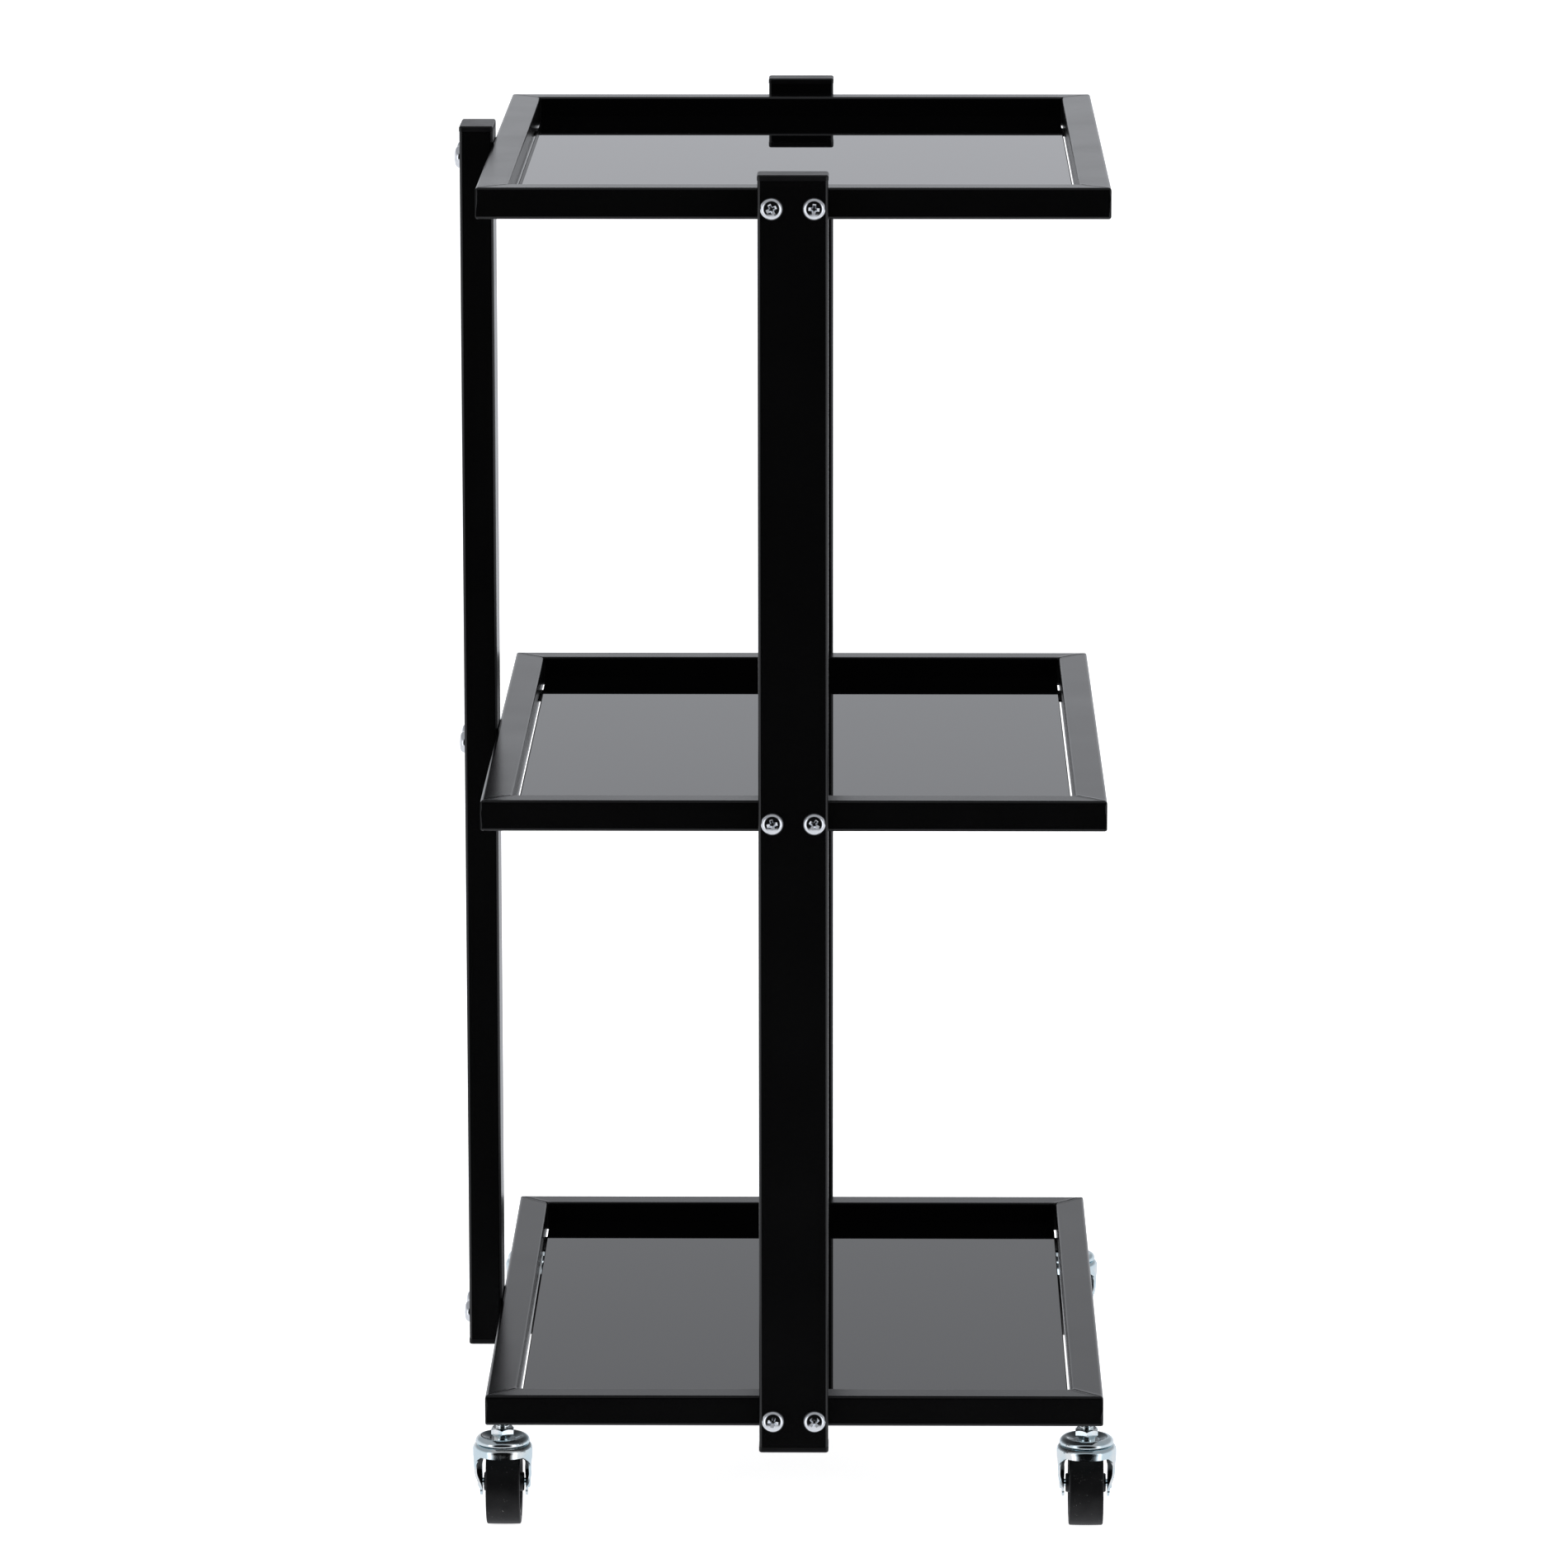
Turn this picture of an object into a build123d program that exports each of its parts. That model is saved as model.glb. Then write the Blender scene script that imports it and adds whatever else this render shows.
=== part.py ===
"""Spa trolley cart: three welded tray frames with lift-out glass panels, bolted to three uprights,
on four swivelling casters.

Units are millimetres. +Z is up, +X is to the right and -Y is the front. The origin is on the floor,
under the centre of the whole trolley's box. "Tray centre" is the middle of the shelf frames, which
stands a little to the right of the origin because only the left side carries an upright.
"""

import os
from math import cos, pi, radians, sin, tan

from build123d import *

# Tray frames: square tube, mitred and welded
TRAY_W = 360.0  # outside, left to right
TRAY_D = 480.0  # outside, front to rear
RAIL = 18.0  # side of the square tube
RAIL_WALL = 1.2
RAIL_EDGE_R = 1.8
RAIL_TOPS = {"bottom_shelf": 88.0, "middle_shelf": 441.4, "top_shelf": 794.8}

# Glass panels, and what they lie on
GLASS_DROP = 12.0  # from the rail's top to the glass's top
GLASS_T = 4.0
GLASS_GAP = 1.4  # between the glass and each rail
GLASS_CORNER_R = 3.0
GLASS_ARRIS = 0.5
TAB_LENGTH = 32.0
TAB_FROM_CORNER = 24.0  # from the inner corner of the tray to the tab
TAB_REACH = 9.0  # how far it stands in from the rail
TAB_T = 1.5
PAD_W = 12.0
PAD_REACH = 5.0

# Uprights: rectangular tube with plastic end caps
POST_W = 40.0
POST_T = 20.0
POST_WALL = 1.5
POST_EDGE_R = 2.0
POST_BOTTOM = 59.6  # caps included
POST_TOP = 804.4
CAP_T = 3.2  # the part that shows
CAP_PROUD = 0.2
CAP_PLUG = 10.0  # the part inside the tube
CAP_EDGE_R = 1.2

# Screws through the uprights into rivet nuts in the rails
SCREW_SPACING = 24.0
SCREW_BELOW_TOP = 9.5  # from the rail's top to the screw's axis
SCREW_R = 3.0
SCREW_HEAD_R = 6.5
SCREW_HEAD_H = 3.2
SCREW_CLEARANCE_R = 3.25  # of the holes through the upright
THREAD_GAP = 0.02
SCREW_CROWN_R = 4.3  # the flatter middle of the head
SCREW_CROWN_FALL = 0.45
SCREW_RIM = 0.5
RECESS_MOUTH = (6.8, 2.1)  # length and width of each arm of the cross recess
RECESS_FLOOR = (1.8, 0.9)
RECESS_DEPTH = 2.0
NUT_R = 4.5
NUT_BULGE_R = 5.6
NUT_L = 12.0
NUT_BULGE_L = 3.0

# Casters
STEM_INSET = 25.0  # from the tray's front or rear face to the swivel axis
WHEEL_R = 25.0
WHEEL_W = 20.0
TYRE_T = 5.0
TYRE_EDGE_R = 1.0
TREAD_CROWN = 0.15  # how much lower the tread is at its edges
HUB_WEB_W = 13.0  # the hub between its rim and its boss
HUB_RIM_T = 3.0
BOSS_R = 5.5
BOSS_W = 23.6  # end to end
TRAIL = 15.0  # from the swivel axis back to the axle
AXLE_R = 2.2
AXLE_GAP = 0.06  # running clearance on the radius
AXLE_HEAD_R = 3.6
AXLE_HEAD_H = 1.5
AXLE_HEAD_EDGE_R = 1.3
STEEL_T = 1.4  # pressed sheet of the fork
CROWN_R = 17.5
CROWN_TOP = 53.3
CROWN_EDGE_R = 3.0
SKIRT_BOTTOM = 47.0
LEG_INSIDE = 12.6  # from the wheel's middle plane to the leg's inner face
LEG_TIP_R = 7.8  # of the leg's end, about the axle
PLATE_R = 16.0  # top plate: dished in the middle, humped over the balls, turned down at the rim
PLATE_T = 1.3
PLATE_DISH_R = 7.6
PLATE_DISH_Z = 55.8  # its top in the middle
PLATE_HUMP = (11.6, 57.3)  # radius and height where the dish's slope meets the round of the rim
PLATE_ROUND = (14.6, 56.9)
PLATE_RIM_Z = 53.8
BALL_R = 1.0
BALL_RING_R = 11.5
BALL_COUNT = 18
RACE_GAP = 0.3  # between the balls and the fork
HEX_AF = 13.0
HEX_BOTTOM = 57.6
HEX_TOP = 62.6
COLLAR_R = 5.0
THREAD_R = 4.0
THREAD_PITCH = 1.25
THREAD_DEPTH = 0.65
STEM_TOP = 82.0
SHANK_R = 3.4  # the pin that the fork turns on
SHANK_GAP = 0.3
RIVET_R = 5.4
RIVET_T = 1.5
SOCKET_R = 6.0
SOCKET_L = 14.4

# The trolley's box runs from the left upright's screw heads to the right casters' crowns
CASTER_X = TRAY_W / 2 - RAIL / 2
CASTER_Y = TRAY_D / 2 - STEM_INSET
LEFT_END = TRAY_W / 2 + POST_T + SCREW_HEAD_H
RIGHT_END = CASTER_X + CROWN_R
SHIFT_X = (LEFT_END - RIGHT_END) / 2
TRAY_CENTRE = Location((SHIFT_X, 0, 0))

SIDES = ("front", "rear", "left", "right")
POSTS = ("front", "rear", "left")


def turned(side):
    """Turn about the tray's centre that takes something built on the front side to the named side."""
    return Rot(0, 0, {"front": 0, "right": 90, "rear": 180, "left": 270}[side])


def side_length(side):
    """Outside length of the tray along the named side."""
    return TRAY_W if side in ("front", "rear") else TRAY_D


def side_distance(side):
    """Distance from the tray's centre to the outside face of the named side."""
    return (TRAY_D if side in ("front", "rear") else TRAY_W) / 2


def tube(width, thickness, wall, edge_r, length):
    """Hollow rectangular tube along +Z with rounded edges, inside and out."""
    outside = RectangleRounded(width, thickness, edge_r)
    inside = RectangleRounded(width - 2 * wall, thickness - 2 * wall, edge_r - wall)
    return extrude(outside - inside, length)


def screw_places(side):
    """Where the screw axes cross the side's outside face: x along the side, z of each shelf."""
    across = (-SCREW_SPACING / 2, SCREW_SPACING / 2)
    return [(x, top - SCREW_BELOW_TOP) for top in RAIL_TOPS.values() for x in across]


def along_y(radius, x, z, start, end):
    """Cylinder parallel to Y between two distances."""
    middle = (start + end) / 2
    return Pos(x, middle, z) * Rot(90, 0, 0) * Cylinder(radius, abs(end - start))


# ---------------------------------------------------------------- tray frames


def rail(side, top):
    """One mitred side of a tray frame, with holes for its rivet nuts or its caster sockets."""
    length = side_length(side)
    face = -side_distance(side)
    bar = Pos(-length / 2, face + RAIL / 2, top - RAIL / 2) * Rot(0, 90, 0) * tube(
        RAIL, RAIL, RAIL_WALL, RAIL_EDGE_R, length
    )
    for end in (-length / 2, length / 2):
        back = face + RAIL
        mitre = end - RAIL if end > 0 else end + RAIL
        corner = [(end, face), (end, back), (mitre, back)]
        waste = extrude(make_face(Polyline(*corner, close=True)), RAIL)
        bar -= Pos(0, 0, top - RAIL) * waste
    if side in POSTS:
        for x in (-SCREW_SPACING / 2, SCREW_SPACING / 2):
            bar -= along_y(NUT_R, x, top - SCREW_BELOW_TOP, face - 1, face + RAIL_WALL + 1)
    if side in ("left", "right") and top == RAIL_TOPS["bottom_shelf"]:
        for x in (-CASTER_Y, CASTER_Y):
            bar -= Pos(x, face + RAIL / 2, top - RAIL) * Cylinder(SOCKET_R, 2 * RAIL_WALL + 1)
    return TRAY_CENTRE * turned(side) * bar


def tab_places(side):
    """Middle of each of the side's two glass tabs, along the side."""
    inner_half = side_length(side) / 2 - RAIL
    middle = inner_half - TAB_FROM_CORNER - TAB_LENGTH / 2
    return (-middle, middle)


def glass_tabs(top):
    """Eight tabs flush with the rails' undersides, fitted to the rails' rounded edges."""
    tabs = []
    for side in SIDES:
        inner_face = -side_distance(side) + RAIL
        bar = Box(side_length(side), RAIL, RAIL)
        bar = Pos(0, inner_face - RAIL / 2, top - RAIL / 2) * fillet(bar.edges().filter_by(Axis.X), RAIL_EDGE_R)
        reach = TAB_REACH + RAIL_EDGE_R
        for x in tab_places(side):
            middle_y = inner_face + TAB_REACH - reach / 2
            plate = Pos(x, middle_y, top - RAIL + TAB_T / 2) * Box(TAB_LENGTH, reach, TAB_T)
            outer = plate.edges().filter_by(Axis.Z).group_by(Axis.Y)[-1]
            tabs.append(TRAY_CENTRE * turned(side) * (fillet(outer, 2.0) - bar))
    return Compound(children=tabs)


def glass_pads():
    """Soft pads that fill the space between every tab and the glass."""
    pads = []
    for top in RAIL_TOPS.values():
        low = top - RAIL + TAB_T
        height = top - GLASS_DROP - GLASS_T - low
        for side in SIDES:
            y = -side_distance(side) + RAIL + TAB_REACH - PAD_REACH / 2 - 0.5
            for x in tab_places(side):
                pad = Pos(x, y, low + height / 2) * Box(PAD_W, PAD_REACH, height)
                pads.append(TRAY_CENTRE * turned(side) * pad)
    return Compound(children=pads)


def glass(top):
    """Toughened panel with rounded corners and ground edges."""
    width = TRAY_W - 2 * (RAIL + GLASS_GAP)
    depth = TRAY_D - 2 * (RAIL + GLASS_GAP)
    panel = extrude(RectangleRounded(width, depth, GLASS_CORNER_R), GLASS_T)
    rims = panel.faces().sort_by(Axis.Z)[0].edges() + panel.faces().sort_by(Axis.Z)[-1].edges()
    return TRAY_CENTRE * Pos(0, 0, top - GLASS_DROP - GLASS_T) * chamfer(rims, GLASS_ARRIS)


# ---------------------------------------------------------------- uprights


def upright(side):
    """Rectangular tube against the trays' outside faces, drilled right through for the screws."""
    outer = -side_distance(side) - POST_T
    bottom = POST_BOTTOM + CAP_T
    post = Pos(0, outer + POST_T / 2, bottom) * tube(
        POST_W, POST_T, POST_WALL, POST_EDGE_R, POST_TOP - POST_BOTTOM - 2 * CAP_T
    )
    for x, z in screw_places(side):
        post -= along_y(SCREW_CLEARANCE_R, x, z, outer - 1, outer + POST_T + 1)
    return TRAY_CENTRE * turned(side) * post


def cap(side, end):
    """Plastic end cap: a head that covers the tube's end, and a hollow plug inside it."""
    head = extrude(RectangleRounded(POST_W + 2 * CAP_PROUD, POST_T + CAP_PROUD, POST_EDGE_R), CAP_T)
    head = fillet(head.faces().sort_by(Axis.Z)[-1].edges(), CAP_EDGE_R)
    plug_w = POST_W - 2 * POST_WALL - 0.2
    plug_t = POST_T - 2 * POST_WALL - 0.2
    plug = Pos(0, CAP_PROUD / 2, -CAP_PLUG) * tube(plug_w, plug_t, 2.0, 2.5, CAP_PLUG)
    whole = head + plug
    middle_y = -side_distance(side) - POST_T / 2 - CAP_PROUD / 2
    if end == "top":
        place = Pos(0, middle_y, POST_TOP - CAP_T)
    else:
        whole = mirror(whole, Plane.XY)
        place = Pos(0, middle_y, POST_BOTTOM + CAP_T)
    return TRAY_CENTRE * turned(side) * place * whole


def screw():
    """Mushroom-head screw with a tapered cross recess, its axis on -Y and the head's seat at the origin."""
    length = POST_T + NUT_L
    bevel = 0.8
    crown_z = SCREW_HEAD_H - SCREW_CROWN_FALL
    shaft = [(0, SCREW_HEAD_H), (0, -length), (SCREW_R - bevel, -length), (SCREW_R, bevel - length)]
    profile = make_face(
        Polyline(*shaft, (SCREW_R, 0), (SCREW_HEAD_R, 0), (SCREW_HEAD_R, SCREW_RIM))
        + ThreePointArc((SCREW_HEAD_R, SCREW_RIM), (SCREW_HEAD_R - 0.76, crown_z - 0.8), (SCREW_CROWN_R, crown_z))
        + ThreePointArc(
            (SCREW_CROWN_R, crown_z), (SCREW_CROWN_R / 2, SCREW_HEAD_H - SCREW_CROWN_FALL / 4), (0, SCREW_HEAD_H)
        )
    )
    body = revolve(Plane.XZ * profile, Axis.Z)
    mouth = Pos(0, 0, SCREW_HEAD_H) * Rectangle(*RECESS_MOUTH)
    bottom = Pos(0, 0, SCREW_HEAD_H - RECESS_DEPTH) * Rectangle(*RECESS_FLOOR)
    arm = loft([bottom, mouth])
    body -= arm
    body -= Rot(0, 0, 90) * arm
    return Rot(90, 0, 0) * body


def screws(side):
    """The six screws of one upright, their cross recesses turned as a hand leaves them."""
    one = screw()
    outer = -side_distance(side) - POST_T
    turns = (12, 50, 77, 31, 64, 5)
    placed = [
        TRAY_CENTRE * turned(side) * Pos(x, outer, z) * Rot(0, turn, 0) * one
        for (x, z), turn in zip(screw_places(side), turns)
    ]
    return Compound(children=placed)


def rivet_nuts():
    """Threaded inserts, flush with the rails' outside faces and bulged behind the wall."""
    nuts = []
    for side in POSTS:
        face = -side_distance(side)
        for x, z in screw_places(side):
            nut = along_y(NUT_R, x, z, face, face + NUT_L)
            nut += along_y(NUT_BULGE_R, x, z, face + RAIL_WALL, face + RAIL_WALL + NUT_BULGE_L)
            nut -= along_y(SCREW_R + THREAD_GAP, x, z, face - 1, face + NUT_L + 1)
            nuts.append(TRAY_CENTRE * turned(side) * nut)
    return Compound(children=nuts)


# ---------------------------------------------------------------- casters


def ring_solid(points):
    """Solid of revolution about Z from a closed outline of (radius, height) points."""
    return revolve(Plane.XZ * make_face(Polyline(*points, close=True)), Axis.Z)


def thread_outline():
    """Outline points of the exposed thread: V-shaped ridges from the socket down to the hexagon."""
    rail_bottom = RAIL_TOPS["bottom_shelf"] - RAIL
    ridges = int((rail_bottom - HEX_TOP) / THREAD_PITCH)
    points = []
    for i in range(ridges):
        z = rail_bottom - i * THREAD_PITCH
        points += [(THREAD_R, z), (THREAD_R - THREAD_DEPTH, z - THREAD_PITCH / 2)]
    return points + [(THREAD_R, rail_bottom - ridges * THREAD_PITCH)]


def stem():
    """Threaded stem, hexagon and collar in one piece, with the riveted pin that the fork turns on."""
    rivet_top = CROWN_TOP - STEEL_T - SHANK_GAP
    outline = [(0, STEM_TOP), (THREAD_R - 0.8, STEM_TOP), (THREAD_R, STEM_TOP - 0.8)]
    outline += thread_outline()
    outline += [
        (THREAD_R, HEX_TOP),
        (THREAD_R, HEX_BOTTOM),
        (COLLAR_R, HEX_BOTTOM),
        (COLLAR_R, PLATE_DISH_Z),
        (SHANK_R, PLATE_DISH_Z),
        (SHANK_R, rivet_top),
        (RIVET_R, rivet_top),
        (RIVET_R - 0.9, rivet_top - RIVET_T),
        (0, rivet_top - RIVET_T),
    ]
    height = HEX_TOP - HEX_BOTTOM
    corner_r = HEX_AF / 2 / cos(pi / 6)
    hexagon = Pos(0, 0, HEX_BOTTOM) * extrude(RegularPolygon(corner_r, 6, rotation=30), height)
    bevel = corner_r - HEX_AF / 2 * 0.9
    drop = bevel * tan(radians(38))
    rounded = ring_solid(
        [
            (0, HEX_BOTTOM),
            (corner_r - bevel, HEX_BOTTOM),
            (corner_r, HEX_BOTTOM + drop),
            (corner_r, HEX_TOP - drop),
            (corner_r - bevel, HEX_TOP),
            (0, HEX_TOP),
        ]
    )
    return ring_solid(outline) + (hexagon & rounded)


def top_plate():
    """Plate over the ball race: level in the middle, then a cone up to a round that ends in the rim."""
    hump_r, hump_z = PLATE_HUMP
    round_r, round_z = PLATE_ROUND
    rim_top = PLATE_RIM_Z + 0.5
    under = PLATE_DISH_Z - PLATE_T
    outline = make_face(
        Polyline((SHANK_R, under), (SHANK_R, PLATE_DISH_Z), (PLATE_DISH_R, PLATE_DISH_Z), PLATE_HUMP)
        + ThreePointArc(PLATE_HUMP, PLATE_ROUND, (PLATE_R, rim_top))
        + Polyline((PLATE_R, rim_top), (PLATE_R - 0.2, PLATE_RIM_Z), (PLATE_R - PLATE_T, PLATE_RIM_Z))
        + ThreePointArc(
            (PLATE_R - PLATE_T, PLATE_RIM_Z),
            (round_r - PLATE_T * 0.6, round_z - PLATE_T * 0.8),
            (hump_r + PLATE_T * 0.42, hump_z - PLATE_T * 0.92),
        )
        + Polyline(
            (hump_r + PLATE_T * 0.42, hump_z - PLATE_T * 0.92), (PLATE_DISH_R + 0.6, under), (SHANK_R, under)
        )
    )
    return revolve(Plane.XZ * outline, Axis.Z)


def ball_height():
    """Height of the ball centres, just clear of the fork's crown below."""
    return CROWN_TOP + RACE_GAP + BALL_R


def fork():
    """Pressed steel fork: a cupped crown with a skirt at the front and sides, and two legs."""
    crown = Pos(0, 0, (CROWN_TOP + SKIRT_BOTTOM) / 2) * Cylinder(CROWN_R, CROWN_TOP - SKIRT_BOTTOM)
    crown = fillet(crown.edges().group_by(Axis.Z)[-1], CROWN_EDGE_R)
    inside_top = CROWN_TOP - STEEL_T
    inside = Pos(0, 0, (inside_top + SKIRT_BOTTOM - 1) / 2) * Cylinder(
        CROWN_R - STEEL_T, inside_top - SKIRT_BOTTOM + 1
    )
    inside = fillet(inside.edges().group_by(Axis.Z)[-1], CROWN_EDGE_R - STEEL_T)
    crown -= inside
    crown -= Pos(0, CROWN_R, SKIRT_BOTTOM) * Box(2 * LEG_INSIDE, 2 * CROWN_R - 8, 2 * (inside_top - SKIRT_BOTTOM))
    crown -= Pos(0, 0, CROWN_TOP) * Cylinder(SHANK_R + SHANK_GAP, 4 * STEEL_T)
    tip = Pos(TRAIL, WHEEL_R) * Circle(LEG_TIP_R)
    shoulder = make_face(
        Polyline(
            (-9.5, inside_top + 0.4),
            (12.0, inside_top + 0.4),
            (TRAIL + LEG_TIP_R * cos(radians(12)), WHEEL_R + LEG_TIP_R * sin(radians(12))),
            (TRAIL, WHEEL_R),
            (TRAIL - LEG_TIP_R * cos(radians(35)), WHEEL_R - LEG_TIP_R * sin(radians(35))),
            (-10.5, SKIRT_BOTTOM),
            close=True,
        )
    )
    leg_face = Plane.YZ * (tip + shoulder)
    for side in (-1, 1):
        start = LEG_INSIDE if side > 0 else -LEG_INSIDE - STEEL_T
        leg = Pos(start, 0, 0) * extrude(leg_face, STEEL_T)
        crown += leg
    crown -= Pos(0, TRAIL, WHEEL_R) * Rot(0, 90, 0) * Cylinder(AXLE_R, 4 * LEG_INSIDE)
    return crown


def axle():
    """Plain pin through both legs with a rounded head at each end."""
    seat = LEG_INSIDE + STEEL_T
    head = Pos(0, 0, AXLE_HEAD_H / 2) * Cylinder(AXLE_HEAD_R, AXLE_HEAD_H)
    head = fillet(head.edges().group_by(Axis.Z)[-1], AXLE_HEAD_EDGE_R)
    pin = Cylinder(AXLE_R, 2 * seat) + Pos(0, 0, seat) * head + Pos(0, 0, -seat) * mirror(head, Plane.XY)
    return Pos(0, TRAIL, WHEEL_R) * Rot(0, 90, 0) * pin


def about_axle(points):
    """Solid of revolution about the axle from a closed outline of (radius, distance across) points."""
    return Pos(0, TRAIL, WHEEL_R) * Rot(0, 90, 0) * ring_solid(points)


def hub():
    """Wheel centre: rim, web and boss in one moulding, bored for the axle."""
    bore = AXLE_R + AXLE_GAP
    rim_r = WHEEL_R - TYRE_T
    half = WHEEL_W / 2 - 0.4
    web = HUB_WEB_W / 2
    upper = [(bore, BOSS_W / 2), (BOSS_R - 0.4, BOSS_W / 2), (BOSS_R, BOSS_W / 2 - 0.4), (BOSS_R + 0.6, web)]
    upper += [(rim_r - HUB_RIM_T - 0.8, web), (rim_r - HUB_RIM_T, half), (rim_r, half)]
    lower = [(r, -across) for r, across in reversed(upper)]
    return about_axle(upper + lower)


def tyre():
    """Tread ring with rounded edges and a very slightly crowned face."""
    rim_r = WHEEL_R - TYRE_T
    half = WHEEL_W / 2
    edge_r = WHEEL_R - TREAD_CROWN
    flat = half - TYRE_EDGE_R
    wall = edge_r - TYRE_EDGE_R
    turn = TYRE_EDGE_R * sin(pi / 4)
    outline = make_face(
        Polyline((wall, -half), (rim_r, -half), (rim_r, half), (wall, half))
        + ThreePointArc((wall, half), (wall + turn, flat + turn), (edge_r, flat))
        + ThreePointArc((edge_r, flat), (WHEEL_R, 0), (edge_r, -flat))
        + ThreePointArc((edge_r, -flat), (wall + turn, -flat - turn), (wall, -half))
    )
    return Pos(0, TRAIL, WHEEL_R) * Rot(0, 90, 0) * revolve(Plane.XZ * outline, Axis.Z)


def caster_places():
    """Place of each caster's swivel axis on the floor."""
    return {
        f"{row}_{side}": (SHIFT_X + sx * CASTER_X, sy * CASTER_Y)
        for row, sy in (("front", -1), ("rear", 1))
        for side, sx in (("left", -1), ("right", 1))
    }


def bearing_balls():
    """A ring of balls between each top plate and fork."""
    balls = []
    for x, y in caster_places().values():
        for i in range(BALL_COUNT):
            angle = 2 * pi * i / BALL_COUNT
            ball_x = x + BALL_RING_R * cos(angle)
            ball_y = y + BALL_RING_R * sin(angle)
            balls.append(Pos(ball_x, ball_y, ball_height()) * Sphere(BALL_R))
    return Compound(children=balls)


def caster_sockets():
    """Threaded sockets let into the undersides of the bottom side rails."""
    underside = RAIL_TOPS["bottom_shelf"] - RAIL
    ring = Cylinder(SOCKET_R, SOCKET_L) - Cylinder(THREAD_R + THREAD_GAP, 2 * SOCKET_L)
    return Compound(children=[Pos(x, y, underside + SOCKET_L / 2) * ring for x, y in caster_places().values()])


# ---------------------------------------------------------------- the whole trolley


def all_parts():
    """Every named piece in its place."""
    parts = {}
    for shelf, top in RAIL_TOPS.items():
        for side in SIDES:
            parts[f"{shelf}_{side}_rail"] = rail(side, top)
        parts[f"{shelf}_glass_tabs"] = glass_tabs(top)
        parts[f"{shelf}_glass"] = glass(top)
    parts["glass_pads"] = glass_pads()
    for side in POSTS:
        parts[f"{side}_upright"] = upright(side)
        parts[f"{side}_upright_screws"] = screws(side)
        for end in ("top", "bottom"):
            parts[f"{side}_upright_{end}_cap"] = cap(side, end)
    parts["rivet_nuts"] = rivet_nuts()
    parts["caster_sockets"] = caster_sockets()
    parts["caster_bearing_balls"] = bearing_balls()
    pieces = {
        "stem": stem(),
        "top_plate": top_plate(),
        "fork": fork(),
        "axle": axle(),
        "hub": hub(),
        "tyre": tyre(),
    }
    for corner, (x, y) in caster_places().items():
        for piece, shape in pieces.items():
            parts[f"{corner}_caster_{piece}"] = Pos(x, y, 0) * shape
    return parts


os.makedirs("parts", exist_ok=True)
for node, shape in all_parts().items():
    export_step(shape, f"parts/{node}.step")
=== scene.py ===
"""Looks of the spa trolley cart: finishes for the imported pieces, pressed caster forks, studio light
and camera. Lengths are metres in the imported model's own frame; the fork's own sizes are millimetres."""

from math import pi, radians

import bmesh
import bpy
import numpy as np
from mathutils import Matrix, Vector


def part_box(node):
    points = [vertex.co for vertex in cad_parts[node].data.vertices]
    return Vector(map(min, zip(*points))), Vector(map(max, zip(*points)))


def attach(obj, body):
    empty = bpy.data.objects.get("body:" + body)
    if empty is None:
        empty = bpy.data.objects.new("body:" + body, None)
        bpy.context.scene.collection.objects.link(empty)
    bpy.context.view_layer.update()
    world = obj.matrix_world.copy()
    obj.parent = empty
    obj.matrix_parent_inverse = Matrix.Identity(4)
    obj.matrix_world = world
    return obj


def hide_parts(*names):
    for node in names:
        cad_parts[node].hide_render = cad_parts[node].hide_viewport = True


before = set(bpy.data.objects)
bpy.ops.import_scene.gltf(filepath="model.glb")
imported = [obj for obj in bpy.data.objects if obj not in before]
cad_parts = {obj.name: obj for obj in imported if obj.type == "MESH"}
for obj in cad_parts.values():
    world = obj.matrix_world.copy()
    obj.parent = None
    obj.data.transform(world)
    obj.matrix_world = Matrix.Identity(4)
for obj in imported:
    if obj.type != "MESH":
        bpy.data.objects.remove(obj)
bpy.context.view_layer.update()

MM = 0.001
CASTERS = ("front_left_caster", "front_right_caster", "rear_left_caster", "rear_right_caster")

# The outline that all three trays share
TRAY_LOW = np.array(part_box("top_shelf_left_rail")[0])
TRAY_HIGH = np.array(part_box("top_shelf_right_rail")[1])
TRAY_CENTRE = (TRAY_LOW + TRAY_HIGH)[:2] / 2
TRAY_HALF = (TRAY_HIGH - TRAY_LOW)[:2] / 2


# ---------------------------------------------------------------- shader expressions


class Wire:
    """One shader output. Arithmetic on it adds Math nodes and gives another Wire."""

    def __init__(self, graph, socket):
        self.graph = graph
        self.socket = socket

    def math(self, operation, *values):
        """Math node on numbers and Wires."""
        return self.graph.add("ShaderNodeMath", {"operation": operation}, dict(enumerate(values)))

    def __add__(self, other):
        return self.math("ADD", self, other)

    def __radd__(self, other):
        return self.math("ADD", other, self)

    def __sub__(self, other):
        return self.math("SUBTRACT", self, other)

    def __rsub__(self, other):
        return self.math("SUBTRACT", other, self)

    def __mul__(self, other):
        return self.math("MULTIPLY", self, other)

    def __rmul__(self, other):
        return self.math("MULTIPLY", other, self)

    def __abs__(self):
        return self.math("ABSOLUTE", self)

    def step(self, low, high):
        """0 below low, 1 above high and a smooth rise between; falls instead where low is the larger."""
        if low > high:
            return 1 - self.step(high, low)
        sockets = {"Value": self, "From Min": low, "From Max": high}
        return self.graph.add("ShaderNodeMapRange", {"interpolation_type": "SMOOTHSTEP"}, sockets)


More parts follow.
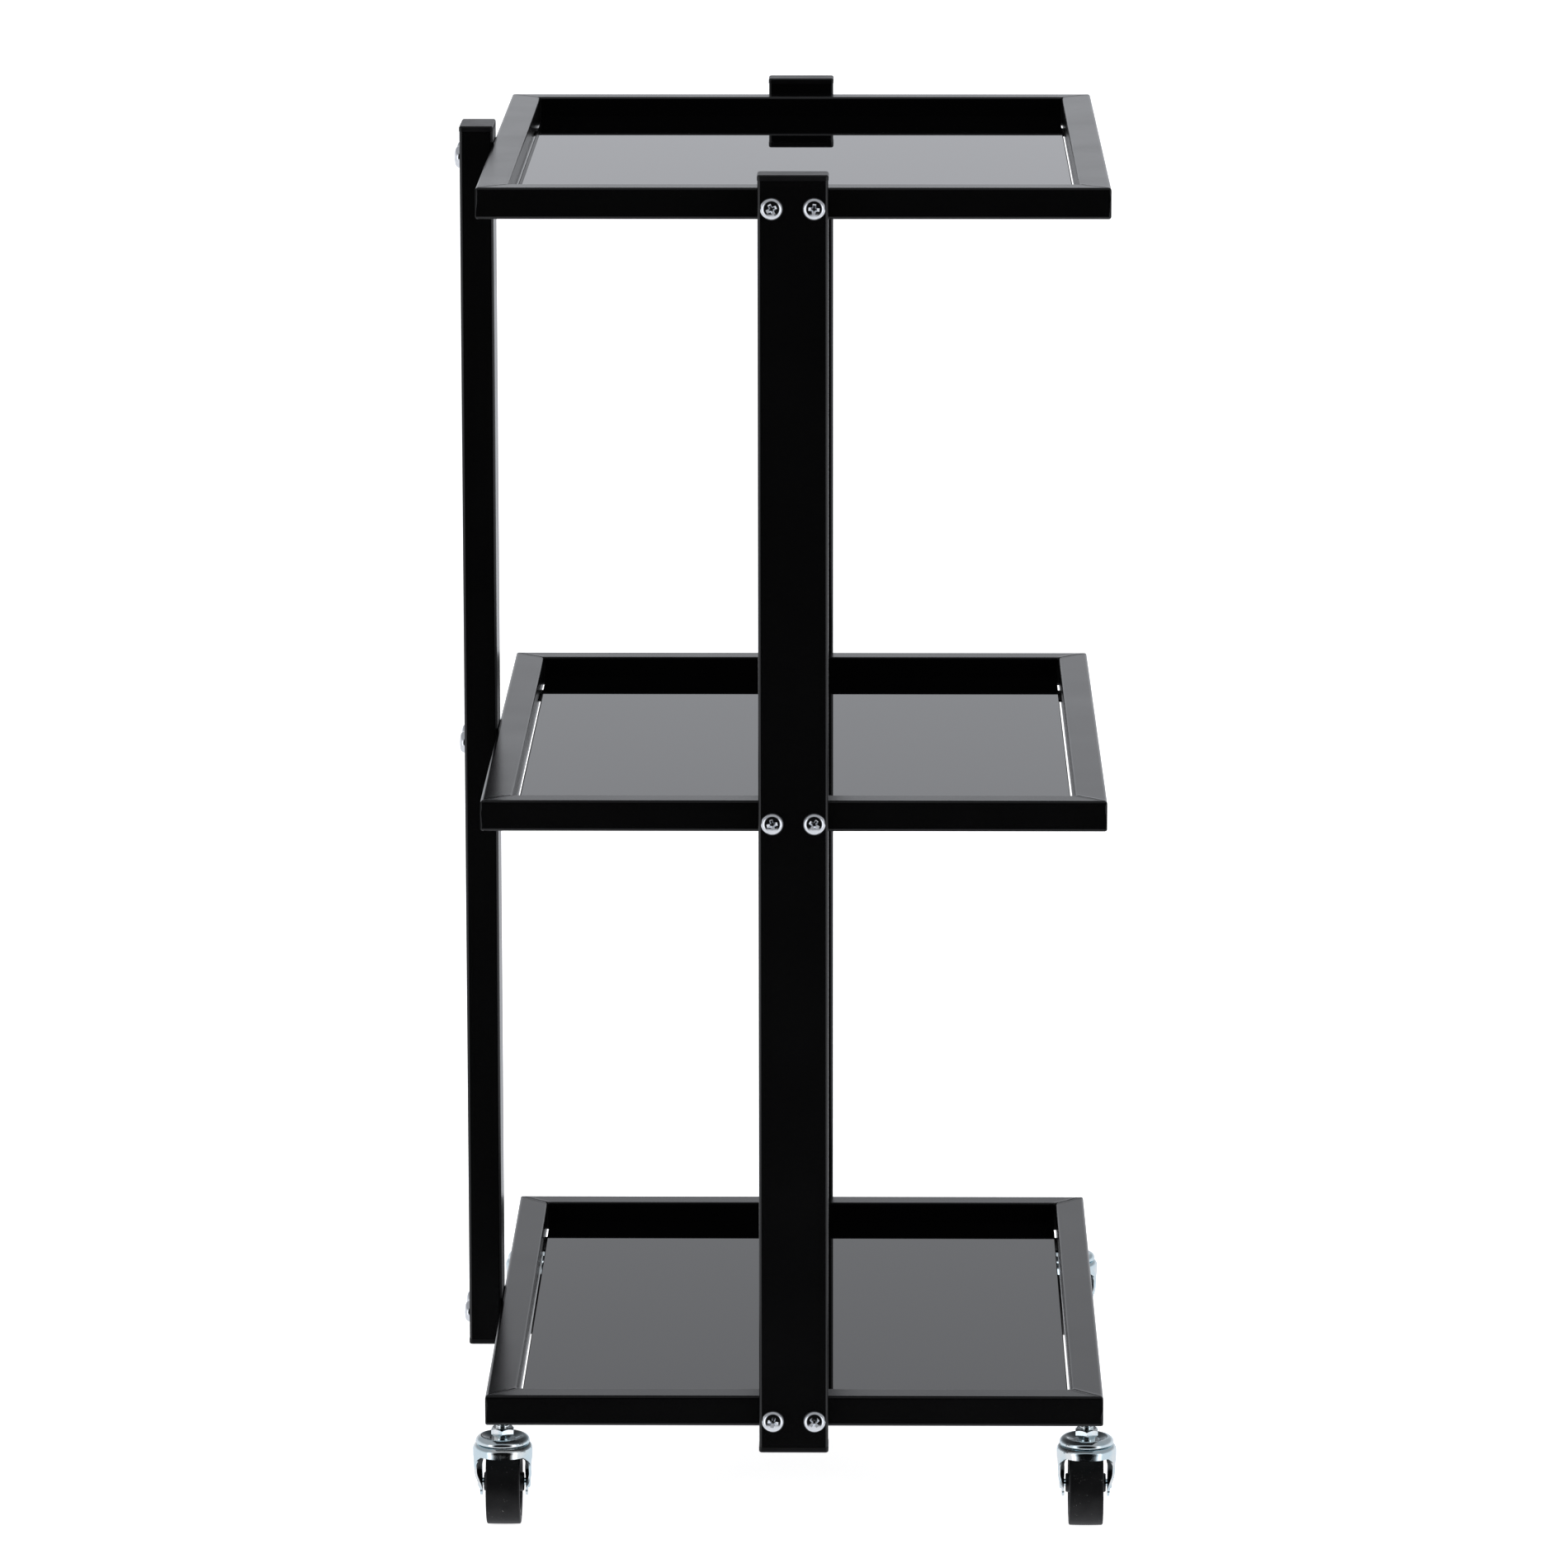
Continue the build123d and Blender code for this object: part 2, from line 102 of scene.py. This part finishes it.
class Graph:
    """A material's or the world's node tree, with one method that adds any node."""

    # Sockets of a Mix node that is set to colours
    MIX_FACTOR, MIX_FIRST, MIX_SECOND, MIX_RESULT = 0, 6, 7, 2

    def __init__(self, tree):
        self.tree = tree
        tree.nodes.clear()

    def add(self, kind, settings=None, inputs=None, output=0):
        """New node of that type: settings first, then its sockets' values or links. Gives one of its
        outputs, or nothing where it has none."""
        node = self.tree.nodes.new(kind)
        for key, value in (settings or {}).items():
            setattr(node, key, value)
        for key, value in (inputs or {}).items():
            if isinstance(value, Wire):
                self.tree.links.new(value.socket, node.inputs[key])
            else:
                node.inputs[key].default_value = value
        return Wire(self, node.outputs[output]) if node.outputs else None

    def place(self):
        """Place on the object, in metres."""
        return self.add("ShaderNodeTexCoord", output="Object")

    def axes(self, vector):
        """A vector's x, y and z as three Wires."""
        split = self.add("ShaderNodeSeparateXYZ", None, {"Vector": vector})
        return [Wire(self, output) for output in split.socket.node.outputs]

    def noise(self, size, detail=3.0, roughness=0.5, stretch=None, distortion=0.0):
        """Noise whose lumps are about size metres across, drawn out along an axis by a stretch under 1."""
        place = self.place()
        if stretch:
            place = self.add("ShaderNodeMapping", None, {"Vector": place, "Scale": stretch})
        sockets = {"Vector": place, "Scale": 1 / size, "Detail": detail, "Roughness": roughness}
        return self.add("ShaderNodeTexNoise", None, {**sockets, "Distortion": distortion})

    def mix(self, factor, first, second):
        """Colour between two colours."""
        colours = {self.MIX_FIRST: self.colour(first), self.MIX_SECOND: self.colour(second)}
        sockets = {self.MIX_FACTOR: factor, **colours}
        return self.add("ShaderNodeMix", {"data_type": "RGBA"}, sockets, output=self.MIX_RESULT)

    @staticmethod
    def colour(value):
        """A Wire as it is, or a colour with its alpha of 1 added."""
        return value if isinstance(value, Wire) else (*value, 1.0)

    def bump(self, height, distance, strength=1.0, under=None):
        """Normal from a height field whose full step is distance metres, over another normal if given."""
        sockets = {"Height": height, "Distance": distance, "Strength": strength}
        if under:
            sockets["Normal"] = under
        return self.add("ShaderNodeBump", None, sockets)


def material(build):
    """New material named as its function, whose Principled sockets are what build(graph) gives."""
    made = bpy.data.materials.new(build.__name__)
    made.use_nodes = True
    graph = Graph(made.node_tree)
    sockets = build(graph)
    for key in ("Base Color", "Emission Color"):
        if key in sockets:
            sockets[key] = Graph.colour(sockets[key])
    surface = graph.add("ShaderNodeBsdfPrincipled", None, sockets)
    graph.add("ShaderNodeOutputMaterial", None, {"Surface": surface})
    return made


# ---------------------------------------------------------------- finishes


def orange_peel(graph):
    """Soft pebbling of a baked powder coat, with a finer grain over it."""
    coarse = graph.noise(1.6 * MM, detail=2.0)
    fine = graph.noise(0.35 * MM, detail=1.0)
    return graph.bump(coarse * 0.75 + fine * 0.25, 0.035 * MM, 0.5)


def powder_coat(graph):
    """Satin black powder coat, with cloudy gloss and a trace of dust."""
    paint, dust_grey = (0.0009, 0.0009, 0.001), (0.03, 0.03, 0.032)
    cloud = graph.noise(60 * MM, detail=4.0)
    dust = graph.noise(0.8 * MM, detail=1.0).step(0.78, 0.84)
    base = graph.mix(dust * 0.12, paint, dust_grey)
    roughness = 0.19 + cloud * 0.08 + dust * 0.15
    return {"Base Color": base, "Roughness": roughness, "IOR": 1.45, "Normal": orange_peel(graph)}


def welded_powder_coat(graph):
    """Powder coat over the ground mitre welds at a tray's corners: each a sunk, rougher line that
    wanders a little, in a slight swelling. The line is where a place is as far in from the tray's side
    as from its end."""
    line_edge, line_core = 1.1 * MM, 0.3 * MM
    swell_edge, swell_core = 5 * MM, 1.0 * MM
    sunk = 0.3 * MM
    x, y, _ = graph.axes(graph.place())
    across = abs(x - float(TRAY_CENTRE[0])) - float(TRAY_HALF[0])
    along = abs(y - float(TRAY_CENTRE[1])) - float(TRAY_HALF[1])
    wander = (graph.noise(9 * MM, detail=2.0) - 0.5) * (3.0 * MM)
    off_mitre = abs(across - along + wander)
    seam = off_mitre.step(line_edge, line_core)
    swell = off_mitre.step(swell_edge, swell_core)
    sockets = powder_coat(graph)
    dressed = graph.bump(swell * 0.4 - seam, sunk, 0.8, sockets["Normal"])
    return {**sockets, "Roughness": sockets["Roughness"] + seam * 0.35, "Normal": dressed}


def black_glass(graph):
    """Polished black glass with faint wiping marks and the odd speck."""
    glass, speck_grey = (0.001, 0.001, 0.0011), (0.06, 0.06, 0.065)
    wipe = graph.noise(55 * MM, detail=5.0, stretch=(1.0, 0.25, 1.0), distortion=1.2).step(0.5, 0.85)
    speck = graph.noise(0.5 * MM, detail=0.0).step(0.84, 0.88)
    base = graph.mix(speck * 0.3, glass, speck_grey)
    ripple = graph.noise(90 * MM, detail=1.0)
    sockets = {"Base Color": base, "Roughness": 0.008 + wipe * 0.02 + speck * 0.15, "IOR": 1.5}
    return {**sockets, "Normal": graph.bump(ripple, 0.03 * MM, 0.3)}


def cap_plastic(graph):
    """Moulded plastic with a fine spark-eroded grain."""
    deep, faded = (0.0015, 0.0015, 0.0016), (0.0035, 0.0035, 0.0038)
    grain = graph.noise(0.45 * MM, detail=3.0, roughness=0.7)
    patch = graph.noise(9 * MM, detail=2.0)
    sockets = {"Base Color": graph.mix(patch, deep, faded), "Roughness": 0.3 + patch * 0.1, "IOR": 1.38}
    return {**sockets, "Normal": graph.bump(grain, 0.05 * MM, 0.5)}


def bright_screw(graph):
    """Bright plated steel, finely pitted, with handling scuffs."""
    plating, scuffed = (0.74, 0.76, 0.79), (0.9, 0.91, 0.93)
    scuff = graph.noise(2.2 * MM, detail=4.0)
    base = graph.mix(scuff, plating, scuffed)
    fine = graph.noise(0.3 * MM, detail=2.0)
    sockets = {"Base Color": base, "Metallic": 1.0, "Roughness": 0.07 + scuff * 0.1}
    return {**sockets, "Normal": graph.bump(fine, 0.008 * MM, 0.4)}


def zinc_plate(graph):
    """Blue-white zinc plate: slow blue and straw tints, matt patches and drawing marks in the sheet."""
    blue, straw = (0.7, 0.83, 0.88), (0.9, 0.92, 0.91)
    tint = graph.noise(11 * MM, detail=2.0)
    patch = graph.noise(5 * MM, detail=4.0)
    base = graph.mix(tint.step(0.35, 0.7), blue, straw)
    draw = graph.noise(1.1 * MM, detail=3.0, stretch=(1.0, 1.0, 0.12))
    sockets = {"Base Color": base, "Metallic": 1.0, "Roughness": 0.1 + patch.step(0.4, 0.75) * 0.13}
    return {**sockets, "Normal": graph.bump(draw, 0.015 * MM, 0.5)}


def wheel_plastic(graph):
    """Black moulded wheel centre with flow marks."""
    deep, faded = (0.002, 0.002, 0.0022), (0.006, 0.006, 0.0065)
    flow = graph.noise(6 * MM, detail=4.0, distortion=0.8)
    grain = graph.noise(0.4 * MM, detail=2.0)
    sockets = {"Base Color": graph.mix(flow, deep, faded), "Roughness": 0.34 + flow * 0.15}
    return {**sockets, "Normal": graph.bump(grain, 0.03 * MM, 0.5)}


def tyre_rubber(graph):
    """Dull black tread: worn, dusty patches, painted floor light that lightens the tread towards its
    bottom, and a scatter of pale specks.
    """
    rubber, worn_and_floor_lit_rubber, speck_grey = (0.001, 0.001, 0.0011), (0.02, 0.019, 0.02), (0.24, 0.24, 0.23)
    _, _, z = graph.axes(graph.place())
    worn = graph.noise(9 * MM, detail=5.0, roughness=0.65)
    # Painted floor light: a mask that rises towards the tread's bottom, where the white floor lights it
    low = z.step(30 * MM, 8 * MM)
    speck = graph.noise(0.8 * MM, detail=1.0).step(0.68, 0.76)
    patch = graph.noise(5 * MM, detail=1.0).step(0.45, 0.7)
    # Worn patches, plus painted floor light that lightens the tread low down through the same mix
    dusty = graph.mix(worn.step(0.3, 0.75) * (0.05 + low * 0.4), rubber, worn_and_floor_lit_rubber)
    # Pale specks, also lightened low down by the painted floor light
    base = graph.mix(speck * patch * (0.35 + low * 0.4), dusty, speck_grey)
    grain = graph.noise(0.5 * MM, detail=3.0, roughness=0.7)
    sockets = {"Base Color": base, "Roughness": 0.4 + worn * 0.25, "IOR": 1.33}
    return {**sockets, "Normal": graph.bump(grain, 0.05 * MM, 0.5)}


def soft_pad(graph):
    """Soft grey pad, slightly dusty."""
    clean, dusty = (0.5, 0.5, 0.5), (0.68, 0.68, 0.67)
    dust = graph.noise(1.0 * MM, detail=3.0)
    sockets = {"Base Color": graph.mix(dust, clean, dusty), "Roughness": 0.45 + dust * 0.2}
    return {**sockets, "Normal": graph.bump(dust, 0.04 * MM, 0.4)}


def pale_floor(graph):
    """Matt, nearly white and a little self-lit, so that it stays white round the casters."""
    cloud = graph.noise(0.8, detail=2.0)
    base = graph.mix(cloud, (0.9, 0.9, 0.9), (0.93, 0.93, 0.93))
    sockets = {"Base Color": base, "Roughness": 0.6, "Specular IOR Level": 0.2}
    return {**sockets, "Emission Color": (1.0, 1.0, 1.0), "Emission Strength": 0.9}


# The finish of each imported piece, found by the end of its name
FINISH_OF = {
    "_rail": welded_powder_coat,
    "_glass_tabs": powder_coat,
    "_upright": powder_coat,
    "_glass": black_glass,
    "_cap": cap_plastic,
    "_screws": bright_screw,
    "_balls": bright_screw,
    "_nuts": zinc_plate,
    "_sockets": zinc_plate,
    "_stem": zinc_plate,
    "_top_plate": zinc_plate,
    "_fork": zinc_plate,
    "_axle": zinc_plate,
    "_hub": wheel_plastic,
    "_tyre": tyre_rubber,
    "_pads": soft_pad,
}
MATERIALS = {build: material(build) for build in dict.fromkeys(FINISH_OF.values())}


def finish_packed_pieces():
    """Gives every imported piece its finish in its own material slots."""
    for name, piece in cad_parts.items():
        finish = next(MATERIALS[build] for ending, build in FINISH_OF.items() if name.endswith(ending))
        for material_slot in piece.material_slots:
            material_slot.material = finish
        if not piece.material_slots:
            piece.data.materials.append(finish)


# ---------------------------------------------------------------- surfaces


def smooth(low, high, value):
    """Rises from 0 at low to 1 at high, level at both ends: 3 t squared less 2 t cubed, where t is the
    share of the way from low to high."""
    t = np.clip((value - low) / (high - low), 0.0, 1.0)
    return t * t * (3 - 2 * t)


def quads(rows, columns, start=0, closed=False):
    """Corner numbers of the faces between grid points, row by row; closed joins last column to first."""
    grid = np.arange(rows * columns).reshape(rows, columns) + start
    if closed:
        grid = np.hstack([grid, grid[:, :1]])
    corners = [grid[:-1, :-1], grid[:-1, 1:], grid[1:, 1:], grid[1:, :-1]]
    return np.stack([corner.ravel() for corner in corners], axis=1)


def mesh_from(name, points, faces):
    """Smooth-shaded object from arrays of points and four-cornered faces."""
    mesh = bpy.data.meshes.new(name)
    mesh.from_pydata(points.tolist(), [], faces.tolist())
    mesh.validate()
    made = bpy.data.objects.new(name, mesh)
    bpy.context.scene.collection.objects.link(made)
    mesh.polygons.foreach_set("use_smooth", np.ones(len(mesh.polygons), dtype=bool))
    return made


def close_seams(piece, merge=0.01 * MM):
    """Merges doubled points and makes all faces point the same way, outwards."""
    work = bmesh.new()
    work.from_mesh(piece.data)
    bmesh.ops.remove_doubles(work, verts=work.verts, dist=merge)
    bmesh.ops.recalc_face_normals(work, faces=work.faces)
    work.to_mesh(piece.data)
    work.free()


# ---------------------------------------------------------------- caster forks

# Pressed steel in millimetres, measured to the middle of the sheet, about the swivel axis
SHEET = 1.4
CROWN_R = 16.8
CROWN_TOP = 52.6
CROWN_BEND_R = 2.6
CROWN_HOLE_R = 3.75
SKIRT_Z = 47.0  # foot of the crown's skirt, where the legs begin
LEG_X = 13.3
AXLE_Y, AXLE_Z = 15.0, 25.0
TIP_R = 7.9
TIP_SHOULDER = 0.55  # share of the tip's radius below the axle where its circle begins
FRONT_HOLLOW = 2.2  # depth of the curve in a leg's front edge

# How the flat leg flares out along its front edge: how far, over which heights and how wide
FLARE = 2.7
FLARE_GROWS = (20.0, 35.0)
FLARE_MEETS_CROWN = (38.0, 46.0)
FLARE_WIDTH, FLARE_WIDTH_ADDED = 8.0, 14.0
FLARE_WIDENS = (34.0, 46.0)
LEG_ROUNDS = (36.0, SKIRT_Z)  # heights over which a flat leg takes up the crown's circle

# Lines down the crown, evenly round it from +X; a leg takes those between its two edges
LINES_ROUND = 192
TURN_STEP = 2 * pi / LINES_ROUND
LEG_FRONT_LINE, LEG_REAR_LINE = -24, 18
LEG_FRONT_TURN = LEG_FRONT_LINE * TURN_STEP
LEG_REAR_TURN = LEG_REAR_LINE * TURN_STEP
REAR_CUT = 0.45  # share of the bend that remains at the rear, where the crown is cut open for the wheel
REAR_CUT_BLEND = 0.3  # radians over which the skirt grows back to its full depth
TIP_CROWDING = 1.2  # power that spaces a leg's rows, closer towards the tip

EDGE_ANGLE = radians(50)  # folds sharper than this are shaded as crisp edges


def middle_of(node):
    """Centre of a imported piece's box."""
    low, high = (np.array(corner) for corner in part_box(node))
    return (low + high) / 2


def crown_surface(rows=26):
    """Cup about the swivel axis. For each turn, a path runs flat out from the hole, then round a quarter
    circle, then straight down the skirt. Its radius is the hole's, plus the flat run, plus the bend's
    radius times the sine of the angle bent, and its height drops by the bend's radius times one less the
    cosine, plus the straight run. Behind, the path is shorter and ends part way round the bend."""
    turn = np.arange(LINES_ROUND) * TURN_STEP
    flat = CROWN_R - CROWN_BEND_R - CROWN_HOLE_R
    bend = CROWN_BEND_R * pi / 2
    skirt = CROWN_TOP - CROWN_BEND_R - SKIRT_Z
    off_rear = np.abs(turn - pi / 2)
    open_at = pi / 2 - LEG_REAR_TURN
    full = smooth(open_at - REAR_CUT_BLEND, open_at, off_rear)
    length = flat + bend * REAR_CUT + full * (bend * (1 - REAR_CUT) + skirt)
    along = np.linspace(0, 1, rows)[:, None] * length[None, :]
    angle = np.clip((along - flat) / bend, 0, 1) * pi / 2
    down = np.clip(along - flat - bend, 0, None)
    radius = CROWN_HOLE_R + np.clip(along, 0, flat) + CROWN_BEND_R * np.sin(angle)
    height = CROWN_TOP - CROWN_BEND_R * (1 - np.cos(angle)) - down
    return np.stack([radius * np.cos(turn), radius * np.sin(turn), height], axis=-1)


def leg_edges(z):
    """Y of a leg's front and rear edge at each height. From the crown to the tip's shoulder each is a
    straight line, the front one hollowed by a sine of pi times the square root of the share of the way
    up. Below the shoulder the two edges are the ends of a chord of the circle about the axle."""
    shoulder = AXLE_Z - TIP_R * TIP_SHOULDER
    at_shoulder = TIP_R * np.sqrt(1 - TIP_SHOULDER**2)
    share = np.clip((z - shoulder) / (SKIRT_Z - shoulder), 0, 1)
    hollow = FRONT_HOLLOW * np.sin(pi * np.sqrt(share))
    front = (AXLE_Y - at_shoulder) * (1 - share) + CROWN_R * np.sin(LEG_FRONT_TURN) * share + hollow
    rear = (AXLE_Y + at_shoulder) * (1 - share) + CROWN_R * np.sin(LEG_REAR_TURN) * share
    tip_half = np.sqrt(np.clip(TIP_R**2 - (AXLE_Z - z) ** 2, 0, None))
    in_tip = z < shoulder
    return np.where(in_tip, AXLE_Y - tip_half, front), np.where(in_tip, AXLE_Y + tip_half, rear)


def leg_surface(rows=72):
    """Leg on the +X side, by height and by the crown's own lines. Each row runs from the front edge to
    the rear edge, and its points are spaced as the sines of their turns, so that the top row meets the
    skirt. X is the crown's circle at the top, and blends lower down into a flat leg's place plus a flare,
    which is widest at the front edge, fades away from it and dies out towards the tip."""
    down = np.linspace(0, 1, rows)[:, None]
    bottom = AXLE_Z - TIP_R
    z = SKIRT_Z + (bottom - SKIRT_Z) * (1 - (1 - down) ** TIP_CROWDING)
    front, rear = leg_edges(z)
    turn = np.arange(LEG_FRONT_LINE, LEG_REAR_LINE + 1)[None, :] * TURN_STEP
    across = (np.sin(turn) - np.sin(LEG_FRONT_TURN)) / (np.sin(LEG_REAR_TURN) - np.sin(LEG_FRONT_TURN))
    y = front + (rear - front) * across
    on_circle = np.sqrt(np.clip(CROWN_R**2 - y**2, 0, None))
    flare = FLARE * smooth(*FLARE_GROWS, z) + (CROWN_R - LEG_X - FLARE) * smooth(*FLARE_MEETS_CROWN, z)
    fades_over = FLARE_WIDTH + FLARE_WIDTH_ADDED * smooth(*FLARE_WIDENS, z)
    flare = flare * (1 - smooth(0.0, 1.0, (y - front) / fades_over))
    stays_round = smooth(*LEG_ROUNDS, z)
    x = stays_round * on_circle + (1 - stays_round) * (LEG_X + flare)
    return np.stack([x, y, np.broadcast_to(z, y.shape)], axis=-1)


def fork(caster):
    """Pressed fork: crown and two legs as one sheet, given its thickness and crisp sheared edges."""
    crown = crown_surface()
    leg = leg_surface()
    mirrored_leg = leg * np.array([-1.0, 1.0, 1.0])
    points = np.vstack([part.reshape(-1, 3) for part in (crown, leg, mirrored_leg)]) * MM
    leg_start = crown[..., 0].size
    mirrored_start = leg_start + leg[..., 0].size
    crown_faces = quads(*crown.shape[:2], closed=True)
    leg_faces = quads(*leg.shape[:2], start=leg_start)
    mirrored_faces = quads(*leg.shape[:2], start=mirrored_start)[:, ::-1]
    faces = np.vstack([crown_faces, leg_faces, mirrored_faces])
    stem = middle_of(f"{caster}_stem")
    swivel_axis = np.array([stem[0], stem[1], 0.0])
    piece = mesh_from(f"{caster}_pressed_fork", points + swivel_axis, faces)
    close_seams(piece)
    piece.data.materials.append(MATERIALS[zinc_plate])
    sheet = piece.modifiers.new("sheet", "SOLIDIFY")
    sheet.thickness = SHEET * MM
    sheet.offset = 0.0
    edge = piece.modifiers.new("edge", "EDGE_SPLIT")
    edge.split_angle = EDGE_ANGLE
    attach(piece, f"{caster}_fork")
    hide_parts(f"{caster}_fork")


# ---------------------------------------------------------------- studio

FLOOR_REACH = 12.0
AIM = (0.0, 0.0, 0.4)

# The room that the trolley mirrors, where 1 is as bright as its white ground
ROOM_LEVEL = 0.86
ROOM_DIMS_BY = 0.47
PATCH_DARKENS_BY = 0.995
GLOW_LEVEL = 0.8
ROOM_TINT = (0.93, 0.95, 1.0)
WHITE = (1.0, 1.0, 1.0)

# Camera: place from the trays' centre, turns in degrees, and lens in millimetres
CAMERA_BACK, CAMERA_SIDE, CAMERA_HEIGHT = 4.8279, 0.04826, 1.35685
CAMERA_YAW, CAMERA_PITCH, CAMERA_ROLL = -0.671, 11.164, -0.059
LENS, SENSOR = 187.26, 36.0
SEES_AS_FAR_AS = 60.0


def studio_world():
    """White for the camera. For reflections: a bright room that dims with height, a dark patch straight
    in front of the trolley that stops above the floor, and a brighter glow at either side of that patch.
    Each part is a product of smooth steps of the direction's own x, y and z."""
    world = bpy.data.worlds.new("studio")
    world.use_nodes = True
    graph = Graph(world.node_tree)
    _, y, z = graph.axes(graph.add("ShaderNodeTexCoord", output="Generated"))
    forward = 0.0 - y
    room = ROOM_LEVEL - z.step(0.02, 0.45) * ROOM_DIMS_BY
    patch = forward.step(0.7, 0.86) * z.step(-0.5, -0.36)
    glow = forward.step(0.45, 0.56) * forward.step(0.76, 0.66) * abs(z).step(0.5, 0.3)
    level = room * (1 - patch * PATCH_DARKENS_BY) + glow * GLOW_LEVEL
    seen = graph.add("ShaderNodeLightPath", output="Is Camera Ray")
    strength = level * (1 - seen) + seen
    tint = graph.mix(seen, ROOM_TINT, WHITE)
    light = graph.add("ShaderNodeBackground", None, {"Color": tint, "Strength": strength})
    graph.add("ShaderNodeOutputWorld", None, {"Surface": light})
    bpy.context.scene.world = world


def floor():
    """Wide square floor, which isn't mirrored in the trolley."""
    corners = np.array([[-1, -1, 0], [1, -1, 0], [1, 1, 0], [-1, 1, 0]]) * FLOOR_REACH
    piece = mesh_from("floor", corners, np.array([[0, 1, 2, 3]]))
    piece.data.materials.append(material(pale_floor))
    piece.visible_glossy = False


def softbox(name, place, width, height, watts):
    """Rectangular area light at a place, facing the trolley. It lights without being mirrored in it."""
    data = bpy.data.lights.new(name, "AREA")
    data.shape = "RECTANGLE"
    data.size = width
    data.size_y = height
    data.energy = watts
    lamp = bpy.data.objects.new(name, data)
    lamp.location = place
    lamp.visible_glossy = False
    lamp.rotation_euler = (Vector(AIM) - Vector(place)).to_track_quat("-Z", "Y").to_euler()
    bpy.context.scene.collection.objects.link(lamp)


def softboxes():
    """One large light overhead and a tall bank at either side of the front."""
    softbox("overhead", place=(0.0, 0.2, 3.2), width=2.6, height=2.6, watts=45.0)
    for name, side in (("left_bank", -2.9), ("right_bank", 2.9)):
        softbox(name, place=(side, -2.3, 1.2), width=1.1, height=2.4, watts=40.0)


def camera():
    """Long lens, a little above the top tray, almost square to the front."""
    data = bpy.data.cameras.new("camera")
    data.sensor_width = SENSOR
    data.lens = LENS
    data.clip_end = SEES_AS_FAR_AS
    made = bpy.data.objects.new("camera", data)
    made.location = (TRAY_CENTRE[0] + CAMERA_SIDE, TRAY_CENTRE[1] - CAMERA_BACK, CAMERA_HEIGHT)
    yaw = Matrix.Rotation(-radians(CAMERA_YAW), 4, "Z")
    pitch = Matrix.Rotation(pi / 2 - radians(CAMERA_PITCH), 4, "X")
    roll = Matrix.Rotation(radians(CAMERA_ROLL), 4, "Z")
    made.rotation_euler = (yaw @ pitch @ roll).to_euler()
    bpy.context.scene.collection.objects.link(made)
    bpy.context.scene.camera = made


# ---------------------------------------------------------------- the whole scene

finish_packed_pieces()
for caster in CASTERS:
    fork(caster)
studio_world()
floor()
softboxes()
camera()
bpy.context.scene.view_settings.view_transform = "Standard"
